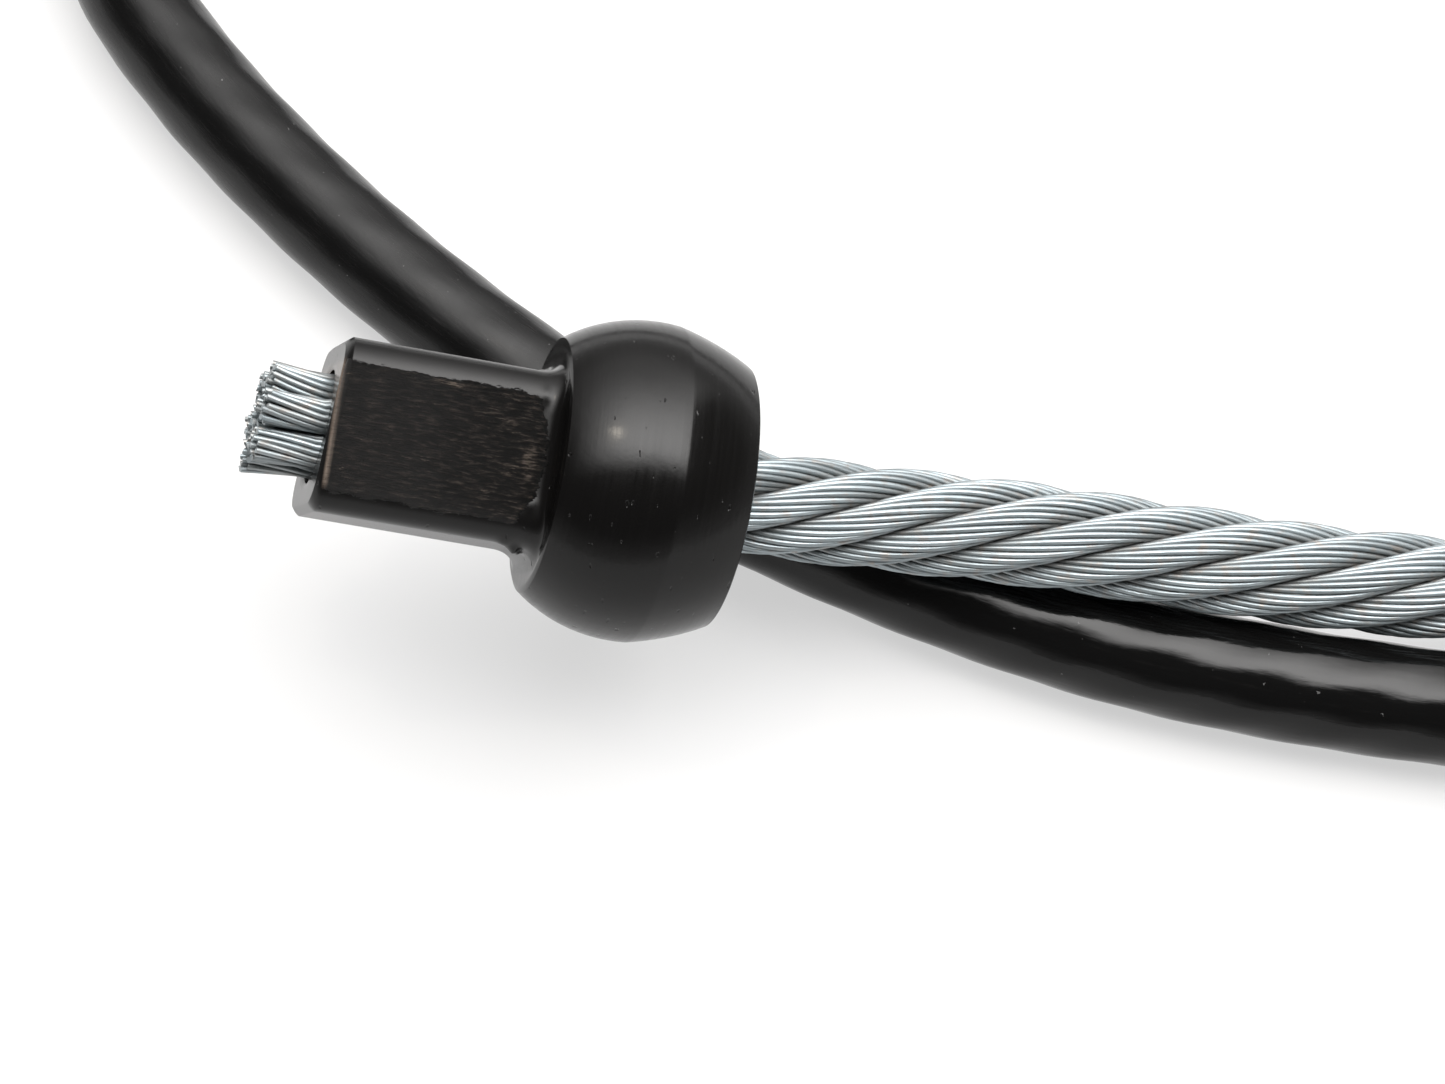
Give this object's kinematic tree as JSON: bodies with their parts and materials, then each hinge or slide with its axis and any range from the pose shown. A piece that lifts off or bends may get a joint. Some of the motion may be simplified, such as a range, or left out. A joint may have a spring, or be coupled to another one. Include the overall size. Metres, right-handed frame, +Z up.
{
  "type": "wire rope lanyard with ball terminal and thimble eye",
  "caption": "Short wire rope lanyard: black ball-and-shank end swaged on bare galvanised rope, black PVC sheath beyond, and a ferrule-secured thimble eye.",
  "frame": {"origin": "on the surface that the lanyard lies on, below the middle of the box round its rigid end fittings", "axes": "+X from the ball terminal towards the thimble eye, +Z up from the surface"},
  "size_m": [0.2765, 0.2145, 0.0425],
  "materials": {
    "black_steel": "glossy black oxide on turned and swaged steel, scraped on the swaged flats",
    "zinc_wire": "bright galvanised fine wires",
    "black_pvc": "smooth glossy extruded PVC",
    "zinc_sheet": "galvanised pressed steel",
    "aluminium": "pressed aluminium, satin"
  },
  "bodies": {
    "root": {"ball_shank_terminal": "black_steel", "rope_strand_1": "zinc_wire", "rope_strand_2": "zinc_wire", "rope_strand_3": "zinc_wire", "rope_strand_4": "zinc_wire", "rope_strand_5": "zinc_wire", "rope_strand_6": "zinc_wire", "rope_core": "zinc_wire", "bare_rope": "zinc_wire", "sheathed_rope": "black_pvc", "eye_rope": "zinc_wire", "thimble": "zinc_sheet", "eye_ferrule": "aluminium"}
  },
  "joints": []
}
